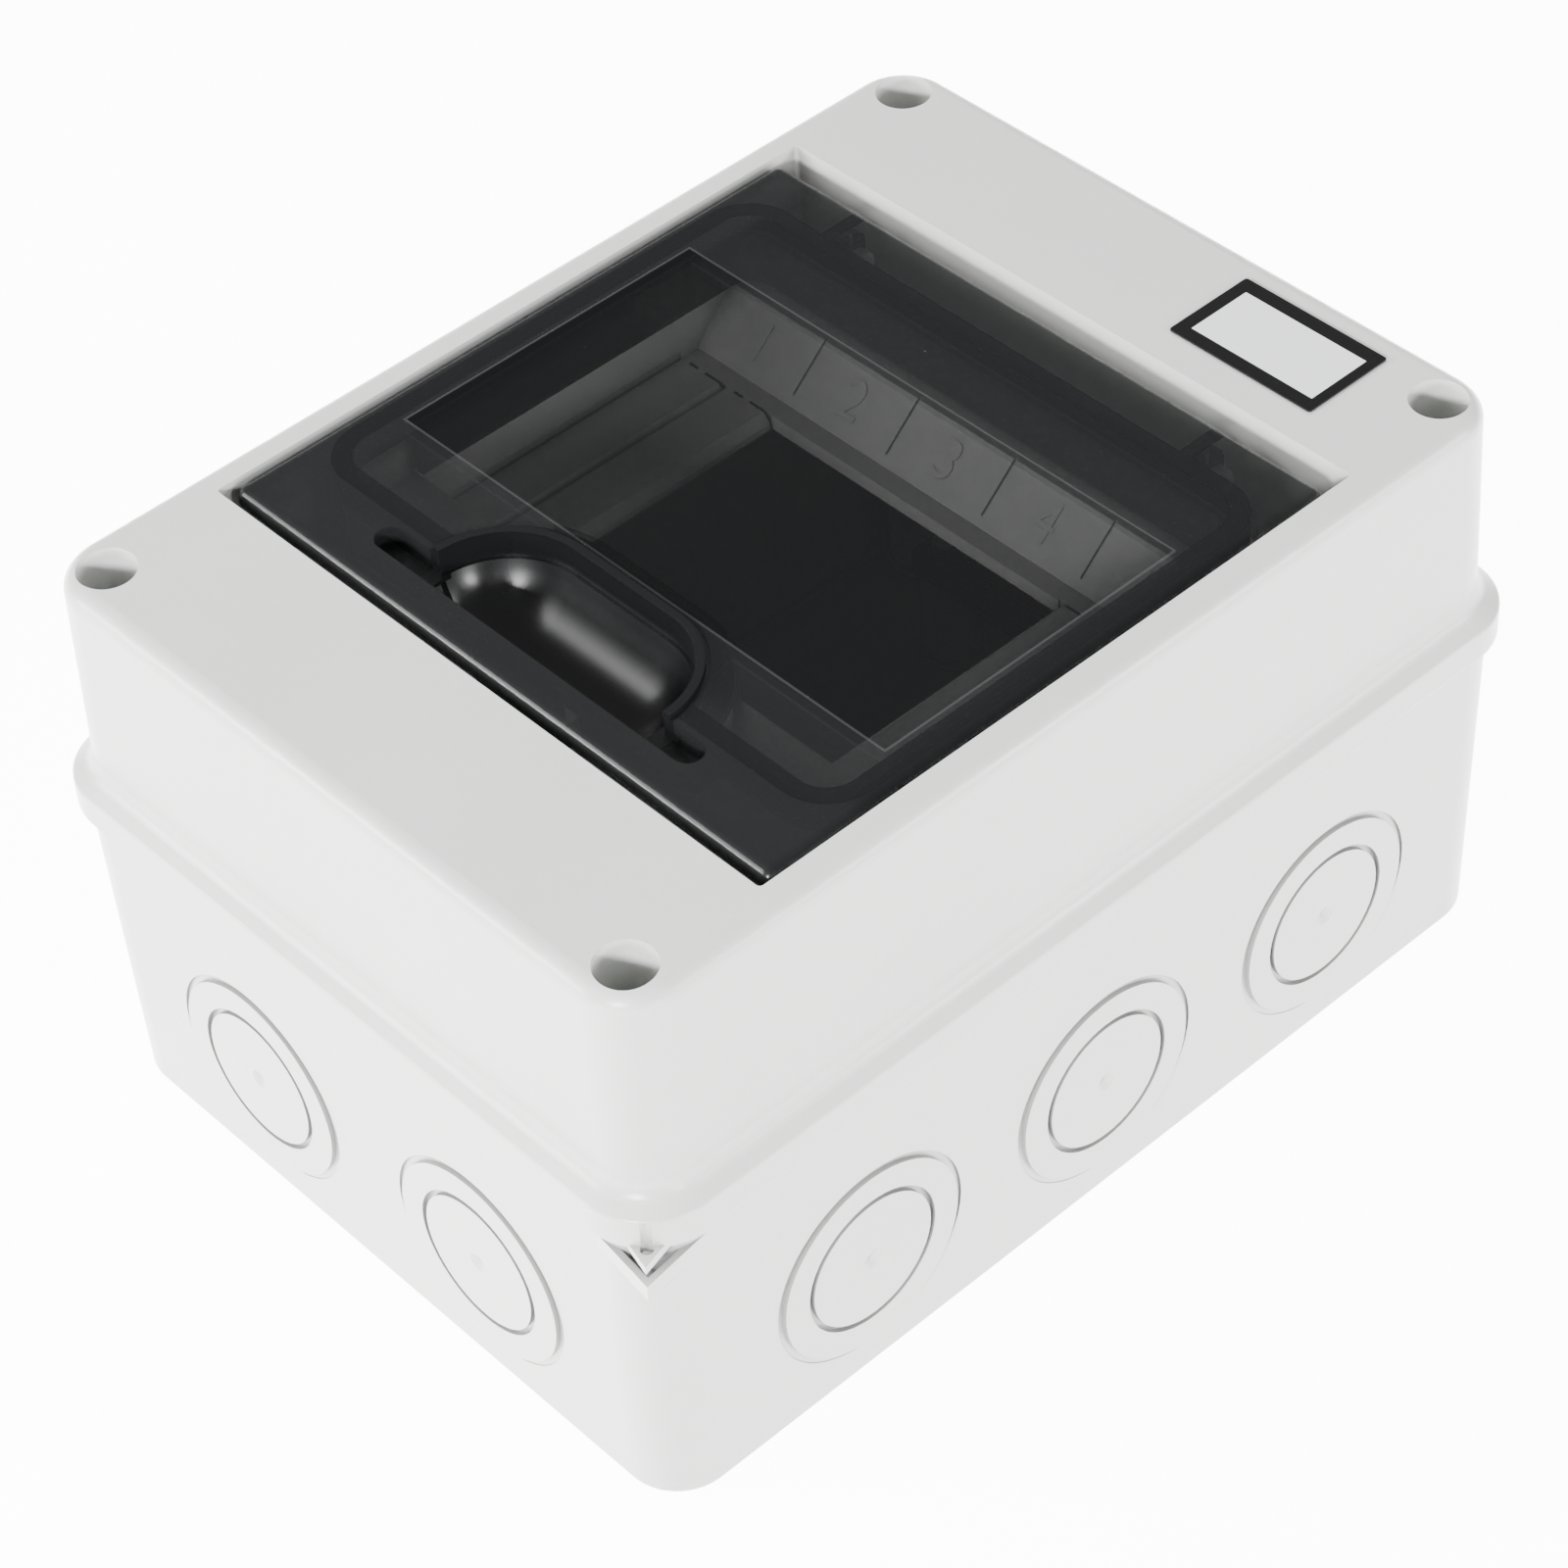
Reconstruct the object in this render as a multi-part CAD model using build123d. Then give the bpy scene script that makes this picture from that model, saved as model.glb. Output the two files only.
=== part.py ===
"""Surface-mounted breaker box for five 18 mm modules, with a lift-up smoked door.

The box lies on its back: X is its width, Y its length towards the hinge end, and Z its
height off the wall. The origin is on the wall side, in the middle of the outline.
"""
import math
import os

from build123d import *

os.makedirs("parts", exist_ok=True)

# Outline of the whole box, at the lip of the cover
WIDTH = 118.0
LENGTH = 158.0
TOP = 89.0
LIP_DROP = 3.7
LIP_HEIGHT = 4.8
LIP_CORNER = 10.0
LIP_ROUND = 0.5
LIP_SLOPE = 2.1

# Base moulding
BASE_STEP = 1.6
BASE_DRAFT = 0.8
BASE_CORNER = 8.0
BASE_WALL = 2.6
BASE_FLOOR = 3.0
BASE_ROUND = 1.0
RIM_TOP = 54.2
RIM_WIDTH = 4.4
RIM_HEIGHT = 6.2
GROOVE_INSET = 1.3
GROOVE_WIDTH = 1.8
GROOVE_DEPTH = 1.7

# Knockouts, with their discs upright on the drafted wall
KNOCKOUT_Z = 21.0
KNOCKOUT_SIDE_PITCH = 42.0
KNOCKOUT_END_PITCH = 44.6
KNOCKOUT_RADIUS = 14.9
KNOCKOUT_INNER = 10.1
KNOCKOUT_RING = 15.9
KNOCKOUT_GROOVE = 0.8
KNOCKOUT_DEPTH = 0.8
KNOCKOUT_PROUD = 0.45
MOAT_DEPTH = 0.3
DIMPLE_RADIUS = 1.5
DIMPLE_DEPTH = 0.8

# Cover screws, their wells and the pillars under them
SCREW_INSET_X = 10.0
SCREW_INSET_Y = 9.57
WELL_RADIUS = 3.99
WELL_WALL = 1.3
WELL_RISE = 6.0
SCREW_RADIUS = 1.95
SCREW_HEAD = 3.4
SCREW_HEAD_HEIGHT = 2.6
SCREW_REACH = 12.2
SCREW_SLIT = 1.1
FIT = 0.05
PLAY = 0.3
SEAL_THICK = 0.8
SEAL_RADIUS = 3.8
PILLAR_RADIUS = 5.0
INSERT_RADIUS = 2.8
INSERT_LENGTH = 8.0

# Cover moulding
COVER_STEP = 2.8
COVER_DRAFT = 0.6
COVER_CORNER = 8.0
COVER_WALL = 2.4
COVER_ROUND = 2.5
COVER_FOOT = 3.2
CROWN = 2.6

# Recess for the door
RECESS_INSET = 8.05
RECESS_NEAR = 50.5
RECESS_FAR = 50.7
RECESS_CORNER = 0.6
TRAY_DEPTH = 16.0
TRAY_WALL = 2.0

# Sealing line between the cover and the door
SEAL_INSET = 3.95
SEAL_NEAR = 36.3
SEAL_FAR = 38.2
SEAL_CORNER = 6.0
SEAL_WIDTH = 2.8
RIB_WIDTH = 1.6
RIB_DEPTH = 4.4

# Hopper round the row of breakers
MODULE = 18.0
OPEN_MODULES = 3
OPENING_Y = 22.5
PLATE_DEPTH = 17.7
PLATE_THICK = 2.3
SHELF = 3.0
HOPPER_DEPTH = 11.0
HOPPER_FAR = 33.0
HOPPER_NEAR = 23.0
HOPPER_WALL = 1.7
STRIP_GAP = 0.5
STRIP_EDGE = 1.3
CELL_LINE = 0.35

# Door, hinged at the far end
DOOR_SINK = 0.3
DOOR_THICK = 2.4
DOOR_ROUND = 1.7
DOOR_CORNER = 1.5
DOOR_SIDE_GAP = 0.6
DOOR_NEAR_GAP = 1.9
DOOR_FAR_GAP = 3.9
HINGE_Y = 43.0
HINGE_DEPTH = 5.5
SKIRT_DEPTH = 7.8
SKIRT_WALL = 1.0
SKIRT_GAP = 0.1
CHANNEL_DEPTH = 1.3
CHANNEL_WALL = 0.8

# Slot, finger scoop and latch
SLOT_END = 30.0
SLOT_NEAR = 42.9
SCOOP_Y = 38.6
SCOOP_RADIUS = 12.0
SCOOP_SPAN = 9.0
SCOOP_WALL = 1.5
BEAD_WIDTH = 1.2
BEAD_HEIGHT = 0.6
HOOK_WIDTH = 15.2
HOOK_SETBACK = 1.9
HOOK_THICK = 1.7
HOOK_LENGTH = 9.2
HOOK_NOSE = 1.2
NOSE_HEIGHT = 2.0
CATCH_WIDTH = 12.0
CATCH_THICK = 1.7

# Hinge arms, lugs and pins
ARM_X = 33.0
ARM_WIDTH = 2.8
ARM_EYE = 2.2
LUG_WIDTH = 1.5
LUG_EYE = 2.1
LUG_FOOT = 1.0
PIN_RADIUS = 1.0

# Sealing-wire ears at the near right corner
EAR_REACH = 0.6
EAR_APEX = 62.0
EAR_SIDE = 6.2
EAR_THICK = 1.2
EAR_DROP = 0.5
EAR_HOLE = 0.85
EAR_HOLE_INSET = 2.6
POCKET_REACH = 0.4
POCKET_APEX = 76.0
POCKET_SIDE = 11.5
POCKET_WALL = 0.9
POCKET_GAP = 2.0
POCKET_DEPTH = 1.3
POCKET_BOTTOM = 1.2
POCKET_TAPER = 5.7
POCKET_FOOT_REACH = 3.6

# Top-hat rail, 35 x 7.5
RAIL_INSET = 9.0
RAIL_WIDTH = 35.0
RAIL_CHANNEL = 27.0
RAIL_HEIGHT = 7.5
RAIL_SHEET = 1.0
RAIL_SLOT = 15.0
RAIL_SLOT_WIDTH = 6.2
RAIL_SLOT_PITCH = 25.0
RAIL_BACK = 15.5
BOSS_RADIUS = 5.0
BOSS_RIB = 1.6
BOSS_RIB_REACH = 10.0
RAIL_SCREW = 1.6
RAIL_SCREW_LENGTH = 9.0
RAIL_SCREW_HEAD = 3.6
RAIL_SCREW_HEAD_HEIGHT = 2.2

# Neutral and earth terminal bars on their carriers
BAR_INSET = 21.0
BAR_LENGTH = 52.0
BAR_WIDTH = 6.5
BAR_HEIGHT = 8.0
WAYS = 6
WAY_PITCH = 8.0
WIRE_RADIUS = 2.2
WIRE_RISE = 4.0
WAY_SCREW = 1.75
WAY_SCREW_HEAD = 2.6
WAY_SCREW_HEAD_HEIGHT = 2.0
WAY_SCREW_RISE = 0.6
CARRIER_LENGTH = 69.0
CARRIER_WIDTH = 10.0
CARRIER_THICK = 3.0
CARRIER_CHEEK = 1.5
POST_TOP = 20.0
POST_X = 30.5
POST_RADIUS = 4.5
POST_SCREW = 1.25
POST_SCREW_LENGTH = 8.0
POST_SCREW_HEAD = 2.6
POST_SCREW_HEAD_HEIGHT = 1.8

# Holes for fixing the box to a wall
FIXING_INSET_X = 21.0
FIXING_INSET_Y = 12.0
FIXING_RADIUS = 2.5
FIXING_PAD = 5.5
FIXING_PAD_HEIGHT = 2.0

# Stick-on rating label
LABEL_INSET = 32.3
LABEL_SHIFT = 1.6
LABEL_WIDTH = 24.6
LABEL_LENGTH = 14.8
LABEL_THICK = 0.25

# Values worked out from the sizes above
base_x = WIDTH / 2 - BASE_STEP
base_y = LENGTH / 2 - BASE_STEP
cover_x = WIDTH / 2 - COVER_STEP
cover_y = LENGTH / 2 - COVER_STEP
skirt_x = base_x + PLAY
skirt_y = base_y + PLAY
flange_z = RIM_TOP + PLAY
lip_bottom = RIM_TOP - LIP_DROP
lip_top = lip_bottom + LIP_HEIGHT
screw_x = WIDTH / 2 - SCREW_INSET_X
screw_y = LENGTH / 2 - SCREW_INSET_Y
screw_tip = RIM_TOP - SCREW_REACH
well_floor = flange_z + WELL_RISE
column_radius = WELL_RADIUS + WELL_WALL
recess_x = WIDTH / 2 - RECESS_INSET
tray_floor = TOP - TRAY_DEPTH
seal_x = recess_x - SEAL_INSET
rib_top = TOP - RIB_DEPTH
hopper_x = seal_x - RIB_WIDTH / 2
hopper_top = TOP - HOPPER_DEPTH
plate_top = TOP - PLATE_DEPTH
plate_bottom = plate_top - PLATE_THICK
opening_x = OPEN_MODULES * MODULE / 2
strips = int((hopper_x - opening_x) / (MODULE / 2))
row_x = opening_x + strips * MODULE / 2
door_top = TOP - DOOR_SINK
door_bottom = door_top - DOOR_THICK
hinge_z = TOP - HINGE_DEPTH
slot_width = SLOT_NEAR - SCOOP_Y
hook_face = SLOT_NEAR + HOOK_SETBACK
ear_bottom = lip_bottom - EAR_DROP
pocket_rim = ear_bottom - POCKET_GAP
pocket_floor = pocket_rim - POCKET_DEPTH
pocket_foot = pocket_floor - POCKET_TAPER
rail_x = WIDTH / 2 - RAIL_INSET
bar_y = LENGTH / 2 - BAR_INSET
fixing_x = WIDTH / 2 - FIXING_INSET_X
fixing_y = LENGTH / 2 - FIXING_INSET_Y
label_x = WIDTH / 2 - LABEL_INSET
label_y = (RECESS_FAR + cover_y - COVER_DRAFT - COVER_ROUND) / 2 + LABEL_SHIFT
outside = WIDTH + LENGTH
corners = [(sx * screw_x, sy * screw_y) for sx in (-1, 1) for sy in (-1, 1)]


def slab(x, y, corner, z0, z1):
    """Upright rounded block with half sizes x and y, from z0 to z1."""
    return Pos(0, 0, z0) * extrude(RectangleRounded(2 * x, 2 * y, corner), amount=z1 - z0)


def drafted(x, y, corner, z0, z1, flare, top_corner=None):
    """Rounded block whose half sizes grow by flare from z0 to z1."""
    low = Pos(0, 0, z0) * RectangleRounded(2 * x, 2 * y, corner)
    high = Pos(0, 0, z1) * RectangleRounded(2 * (x + flare), 2 * (y + flare), top_corner or corner)
    return loft([low, high], ruled=True)


def block(x0, x1, y0, y1, z0, z1):
    """Plain box between two opposite corners."""
    size = Box(x1 - x0, y1 - y0, z1 - z0, align=(Align.MIN, Align.MIN, Align.MIN))
    return Pos(x0, y0, z0) * size


def post(x, y, radius, z0, z1):
    """Upright cylinder from z0 to z1."""
    rod = Cylinder(radius, z1 - z0, align=(Align.CENTER, Align.CENTER, Align.MIN))
    return Pos(x, y, z0) * rod


def cross_rod(x0, x1, y, z, radius):
    """Cylinder along X from x0 to x1."""
    rod = Cylinder(radius, x1 - x0, align=(Align.CENTER, Align.CENTER, Align.MIN))
    return Pos(x0, y, z) * Rot(0, 90, 0) * rod


def edges_at(part, z):
    """Edges of a part that lie wholly at one height."""
    return part.edges().filter_by(lambda e: abs(e.bounding_box().min.Z - z) < 1e-4
                                  and abs(e.bounding_box().max.Z - z) < 1e-4)


def scoop_outline(grow):
    """Plan of the finger scoop, grown outwards, in front of which the slot runs."""
    radius = SCOOP_RADIUS + grow
    bar = Rectangle(2 * SCOOP_SPAN, 2 * radius)
    ends = Pos(-SCOOP_SPAN, 0) * Circle(radius) + Pos(SCOOP_SPAN, 0) * Circle(radius)
    return Pos(0, -SCOOP_Y) * (bar + ends)


def seal_field(grow):
    """Area inside the sealing line, grown outwards, with a bay round the scoop."""
    length = SEAL_NEAR + SEAL_FAR + 2 * grow
    field = RectangleRounded(2 * (seal_x + grow), length, SEAL_CORNER + grow)
    bay = SCOOP_WALL + PLAY + SEAL_WIDTH / 2
    return Pos(0, (SEAL_FAR - SEAL_NEAR) / 2) * field - scoop_outline(bay - grow)


def seal_ring(inner, outer, z0, z1):
    """Wall along the sealing line, between two offsets from its middle."""
    ring = seal_field(outer) - seal_field(inner)
    return Pos(0, 0, z0) * extrude(ring, amount=z1 - z0)


def cross_ring(x0, x1, z, inner, outer):
    """Round groove's volume along X, between two radii."""
    return cross_rod(x0, x1, 0, z, outer) - cross_rod(x0, x1, 0, z, inner)


def knockout(wall_half):
    """Moat to cut, disc to add and groove to cut for one knockout on the wall facing +X."""
    wall = wall_half + BASE_DRAFT * KNOCKOUT_Z / RIM_TOP
    face = wall + KNOCKOUT_PROUD
    moat = cross_ring(wall - MOAT_DEPTH, wall + 1, KNOCKOUT_Z, KNOCKOUT_RADIUS, KNOCKOUT_RING)
    disc = cross_rod(wall_half - BASE_WALL + BASE_DRAFT, face, 0, KNOCKOUT_Z, KNOCKOUT_RADIUS)
    groove = cross_ring(face - KNOCKOUT_DEPTH, face + 1, KNOCKOUT_Z, KNOCKOUT_INNER,
                        KNOCKOUT_INNER + KNOCKOUT_GROOVE)
    dimple = Cone(0, 2 * DIMPLE_RADIUS, 2 * DIMPLE_DEPTH)
    return moat, disc, groove + Pos(face, 0, KNOCKOUT_Z) * Rot(0, 90, 0) * dimple


def knockout_places():
    """Turns and shifts that carry a knockout to each of its ten places."""
    side = [Rot(0, 0, a) * Pos(0, i * KNOCKOUT_SIDE_PITCH, 0) for a in (0, 180) for i in (-1, 0, 1)]
    end = [Rot(0, 0, a) * Pos(0, s * KNOCKOUT_END_PITCH / 2, 0) for a in (90, 270) for s in (-1, 1)]
    return [(place, base_x - BASE_DRAFT) for place in side] + [(place, base_y - BASE_DRAFT) for place in end]


def ear_corner(apex, side, reach):
    """Kite on the near right corner's diagonal, its tip in from the outline by reach."""
    tip = Vector(WIDTH / 2 - reach, reach - LENGTH / 2)
    inward = Vector(-1, 1).normalized()
    left = tip + inward.rotate(Axis.Z, apex / 2) * side
    right = tip + inward.rotate(Axis.Z, -apex / 2) * side
    return Polygon(tip, right, tip + inward * 2 * side, left, align=None)


def wire_hole(z0, z1):
    """Hole for the sealing wire through the ears."""
    return post(WIDTH / 2 - EAR_HOLE_INSET, EAR_HOLE_INSET - LENGTH / 2, EAR_HOLE, z0, z1)


def make_base():
    """Base moulding with pillars, bosses, knockouts and the lower wire ear."""
    body = drafted(base_x - BASE_DRAFT, base_y - BASE_DRAFT, BASE_CORNER, 0, RIM_TOP, BASE_DRAFT)
    body = fillet(edges_at(body, 0), BASE_ROUND)
    wall = BASE_WALL + BASE_DRAFT
    inner_corner = BASE_CORNER - BASE_WALL
    shoulder = RIM_TOP - RIM_HEIGHT
    slope = RIM_WIDTH - BASE_WALL
    flare = BASE_DRAFT * shoulder / RIM_TOP
    body -= drafted(base_x - wall, base_y - wall, inner_corner, BASE_FLOOR, shoulder - slope, flare)
    mid_x = base_x - wall + flare
    mid_y = base_y - wall + flare
    body -= drafted(mid_x, mid_y, inner_corner, shoulder - slope, shoulder, base_x - RIM_WIDTH - mid_x)
    body -= slab(base_x - RIM_WIDTH, base_y - RIM_WIDTH, inner_corner, shoulder, RIM_TOP + 1)
    for x, y in corners:
        body += post(x, y, PILLAR_RADIUS, BASE_FLOOR - 1, RIM_TOP)
    groove = slab(base_x - GROOVE_INSET, base_y - GROOVE_INSET, BASE_CORNER - GROOVE_INSET,
                  RIM_TOP - GROOVE_DEPTH, RIM_TOP + 1)
    inset = GROOVE_INSET + GROOVE_WIDTH
    groove -= slab(base_x - inset, base_y - inset, BASE_CORNER - inset,
                   RIM_TOP - GROOVE_DEPTH - 1, RIM_TOP + 2)
    body -= groove
    for x, y in corners:
        body -= post(x, y, INSERT_RADIUS, RIM_TOP - INSERT_LENGTH, RIM_TOP + 1)
        body -= post(x, y, SCREW_RADIUS + PLAY, screw_tip - 2, RIM_TOP)
    for sx in (-1, 1):
        x = sx * 1.5 * RAIL_SLOT_PITCH
        body += post(x, 0, BOSS_RADIUS, BASE_FLOOR - 1, RAIL_BACK)
        body += block(x - BOSS_RIB / 2, x + BOSS_RIB / 2, -BOSS_RIB_REACH, BOSS_RIB_REACH,
                      BASE_FLOOR - 1, RAIL_BACK - 2)
        body -= post(x, 0, RAIL_SCREW, RAIL_BACK - RAIL_SCREW_LENGTH - 1, RAIL_BACK + 1)
        for sy in (-1, 1):
            body += post(sx * POST_X, sy * bar_y, POST_RADIUS, BASE_FLOOR - 1, POST_TOP)
            body -= post(sx * POST_X, sy * bar_y, POST_SCREW, POST_TOP - POST_SCREW_LENGTH - 1, POST_TOP + 1)
            body += post(sx * fixing_x, sy * fixing_y, FIXING_PAD, BASE_FLOOR - 1,
                         BASE_FLOOR + FIXING_PAD_HEIGHT)
            body -= post(sx * fixing_x, sy * fixing_y, FIXING_RADIUS, -1, BASE_FLOOR + FIXING_PAD_HEIGHT + 1)
    for place, half in knockout_places():
        moat, disc, groove = knockout(half)
        body -= place * moat
        body += place * disc
        body -= place * groove
    return body + lower_ear() - wire_hole(pocket_foot - 1, pocket_floor + 1)


def lower_ear():
    """Corner pocket under the cover's wire ear, sloping back into the wall below."""
    under = pocket_floor - POCKET_BOTTOM
    outline = ear_corner(POCKET_APEX, POCKET_SIDE, POCKET_REACH)
    foot = Pos(0, 0, pocket_foot) * ear_corner(POCKET_APEX, POCKET_SIDE, POCKET_FOOT_REACH)
    solid = loft([foot, Pos(0, 0, under) * outline], ruled=True)
    solid += Pos(0, 0, under) * extrude(outline, amount=pocket_rim - under)
    wall = POCKET_WALL / math.sin(math.radians(POCKET_APEX / 2)) / math.sqrt(2)
    hollow = ear_corner(POCKET_APEX, POCKET_SIDE, POCKET_REACH + wall)
    solid -= Pos(0, 0, pocket_floor) * extrude(hollow, amount=pocket_rim - pocket_floor + 1)
    inside = drafted(base_x - BASE_DRAFT - 1, base_y - BASE_DRAFT - 1, BASE_CORNER, 0, RIM_TOP, BASE_DRAFT)
    return solid - inside


def make_cover():
    """Cover moulding: lip, walls, screw columns, door tray and hopper."""
    foot_z = lip_top + LIP_SLOPE
    lip = slab(WIDTH / 2, LENGTH / 2, LIP_CORNER, lip_bottom, lip_top)
    lip = fillet(edges_at(lip, lip_bottom), LIP_ROUND)
    body = lip + drafted(WIDTH / 2, LENGTH / 2, LIP_CORNER, lip_top, foot_z, -COVER_STEP, COVER_CORNER)
    body += drafted(cover_x, cover_y, COVER_CORNER, foot_z, TOP, -COVER_DRAFT)
    body = fillet(edges_at(body, foot_z), COVER_FOOT)
    body = fillet(edges_at(body, lip_top), LIP_ROUND)
    body = fillet(edges_at(body, TOP), COVER_ROUND)
    body += upper_ear()
    body -= slab(skirt_x, skirt_y, BASE_CORNER + PLAY, lip_bottom - 1, flange_z)
    room_x = cover_x - COVER_WALL
    room_y = cover_y - COVER_WALL
    body -= drafted(room_x, room_y, COVER_CORNER - COVER_WALL, flange_z - 1, TOP - CROWN, -COVER_DRAFT)
    body += tray() + hopper()
    for x, y in corners:
        body += post(x, y, column_radius, flange_z, TOP - CROWN + 0.1)
    body -= recess()
    for x, y in corners:
        body -= post(x, y, WELL_RADIUS, well_floor, TOP + 1)
        body -= post(x, y, SCREW_RADIUS + PLAY, flange_z - 1, well_floor + 1)
    for side in (-1, 1):
        body += hinge_lugs(side)
    body += catch()
    return body - wire_hole(ear_bottom - 1, lip_top)


def upper_ear():
    """Horizontal ear at the foot of the lip, above the base's corner pocket."""
    ear = Pos(0, 0, ear_bottom) * extrude(ear_corner(EAR_APEX, EAR_SIDE, EAR_REACH), amount=EAR_THICK)
    return ear - slab(skirt_x, skirt_y, BASE_CORNER + PLAY, ear_bottom - 1, lip_top)


def tray():
    """Walls and floor of the tray that the door shuts over."""
    x = recess_x + TRAY_WALL
    y0 = -RECESS_NEAR - TRAY_WALL
    y1 = RECESS_FAR + TRAY_WALL
    return block(-x, x, y0, y1, tray_floor - TRAY_WALL, TOP - CROWN + 0.1)


def hopper():
    """Sloping walls and the front plate round the breakers."""
    low = row_x + HOPPER_WALL + 1
    far = OPENING_Y + SHELF + HOPPER_WALL
    return block(-low, low, -HOPPER_NEAR - HOPPER_WALL, far, plate_bottom, tray_floor)


def recess():
    """Everything that is hollowed out of the tray and the hopper."""
    y_mid = (RECESS_FAR - RECESS_NEAR) / 2
    y_span = RECESS_FAR + RECESS_NEAR
    outline = Pos(0, y_mid) * RectangleRounded(2 * recess_x, y_span, RECESS_CORNER)
    cut = Pos(0, 0, rib_top) * extrude(outline, amount=TOP - rib_top + 1)
    moat = outline - seal_field(RIB_WIDTH / 2)
    cut += Pos(0, 0, tray_floor) * extrude(moat, amount=rib_top - tray_floor + 1)
    cut += Pos(0, 0, hopper_top) * extrude(seal_field(-RIB_WIDTH / 2), amount=rib_top - hopper_top + 1)
    cut += funnel()
    cut += block(-opening_x, opening_x, -OPENING_Y, OPENING_Y, plate_bottom - 1, plate_top + 1)
    for side in (-1, 1):
        cut += strip_cuts(side)
    return cut


def funnel():
    """Sloping hollow of the hopper, with its cell lines in the far slope."""
    low_far = OPENING_Y + SHELF
    low = Pos(0, (low_far - OPENING_Y) / 2, plate_top) * Rectangle(2 * row_x, low_far + OPENING_Y)
    high = Pos(0, (HOPPER_FAR - HOPPER_NEAR) / 2, hopper_top) * Rectangle(2 * hopper_x, HOPPER_FAR + HOPPER_NEAR)
    hollow = loft([low, high], ruled=True)
    hollow += Pos(0, 0, hopper_top) * extrude(Pos(0, (HOPPER_FAR - HOPPER_NEAR) / 2)
                                              * Rectangle(2 * hopper_x, HOPPER_FAR + HOPPER_NEAR), amount=1)
    rise = hopper_top - plate_top
    run = HOPPER_FAR - low_far
    line = extrude(Plane.YZ * Polygon((low_far + 0.15 * run, plate_top + 0.15 * rise),
                                      (HOPPER_FAR, hopper_top), (HOPPER_FAR + 0.4, hopper_top),
                                      (low_far + 0.15 * run + 0.4, plate_top + 0.15 * rise), align=None),
                   amount=CELL_LINE / 2, both=True)
    modules = round(2 * row_x / MODULE)
    for i in range(1, modules):
        hollow += Pos((i - modules / 2) * MODULE, 0, 0) * line
    return hollow


def strip_cuts(side):
    """Slits and rounded edges that make the half-module break-off strips."""
    half = MODULE / 2
    gap = STRIP_GAP / 2
    cut = None
    for i in range(strips):
        inner = opening_x + i * half
        outer = inner + half
        slit = block(outer - gap, outer + gap, -OPENING_Y, OPENING_Y, plate_bottom - 1, plate_top + 1)
        edge = Plane.XZ * Polygon((inner, plate_top), (inner + STRIP_EDGE, plate_top),
                                  (inner, plate_top - STRIP_EDGE), align=None)
        slit += extrude(edge, amount=OPENING_Y, both=True)
        for y in (-OPENING_Y, OPENING_Y):
            for start, stop in ((0.0, 0.47), (0.62, 0.82)):
                slit += block(inner + start * half, inner + stop * half, y - gap, y + gap,
                              plate_bottom - 1, plate_top + 1)
        cut = slit if cut is None else cut + slit
    return cut if side > 0 else mirror(cut, about=Plane.YZ)


def eye(x0, x1, radius, far, foot_z):
    """Plate across X, round at the hinge, with a foot to foot_z that ends far behind it."""
    rod = cross_rod(x0, x1, HINGE_Y, hinge_z, radius)
    low, high = sorted((foot_z, hinge_z))
    return rod + block(x0, x1, HINGE_Y - radius, HINGE_Y + far, low, high)


def hinge_lugs(side):
    """Two lugs of the cover, one each side of a hinge arm."""
    mid = side * ARM_X
    lugs = None
    for way in (-1, 1):
        near = mid + way * (ARM_WIDTH / 2 + PLAY)
        far = near + way * LUG_WIDTH
        x0, x1 = sorted((near, far))
        lug = eye(x0, x1, LUG_EYE, LUG_FOOT, tray_floor - 0.5)
        lug -= cross_rod(x0 - 1, x1 + 1, HINGE_Y, hinge_z, PIN_RADIUS)
        lugs = lug if lugs is None else lugs + lug
    return lugs


def catch():
    """Upright on the tray floor that the latch hook snaps behind."""
    face = hook_face - HOOK_THICK - HOOK_NOSE - PLAY
    top = door_bottom - HOOK_LENGTH + NOSE_HEIGHT + PLAY
    return block(-CATCH_WIDTH / 2, CATCH_WIDTH / 2, -face, -face + CATCH_THICK, tray_floor - 0.5, top)


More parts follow.
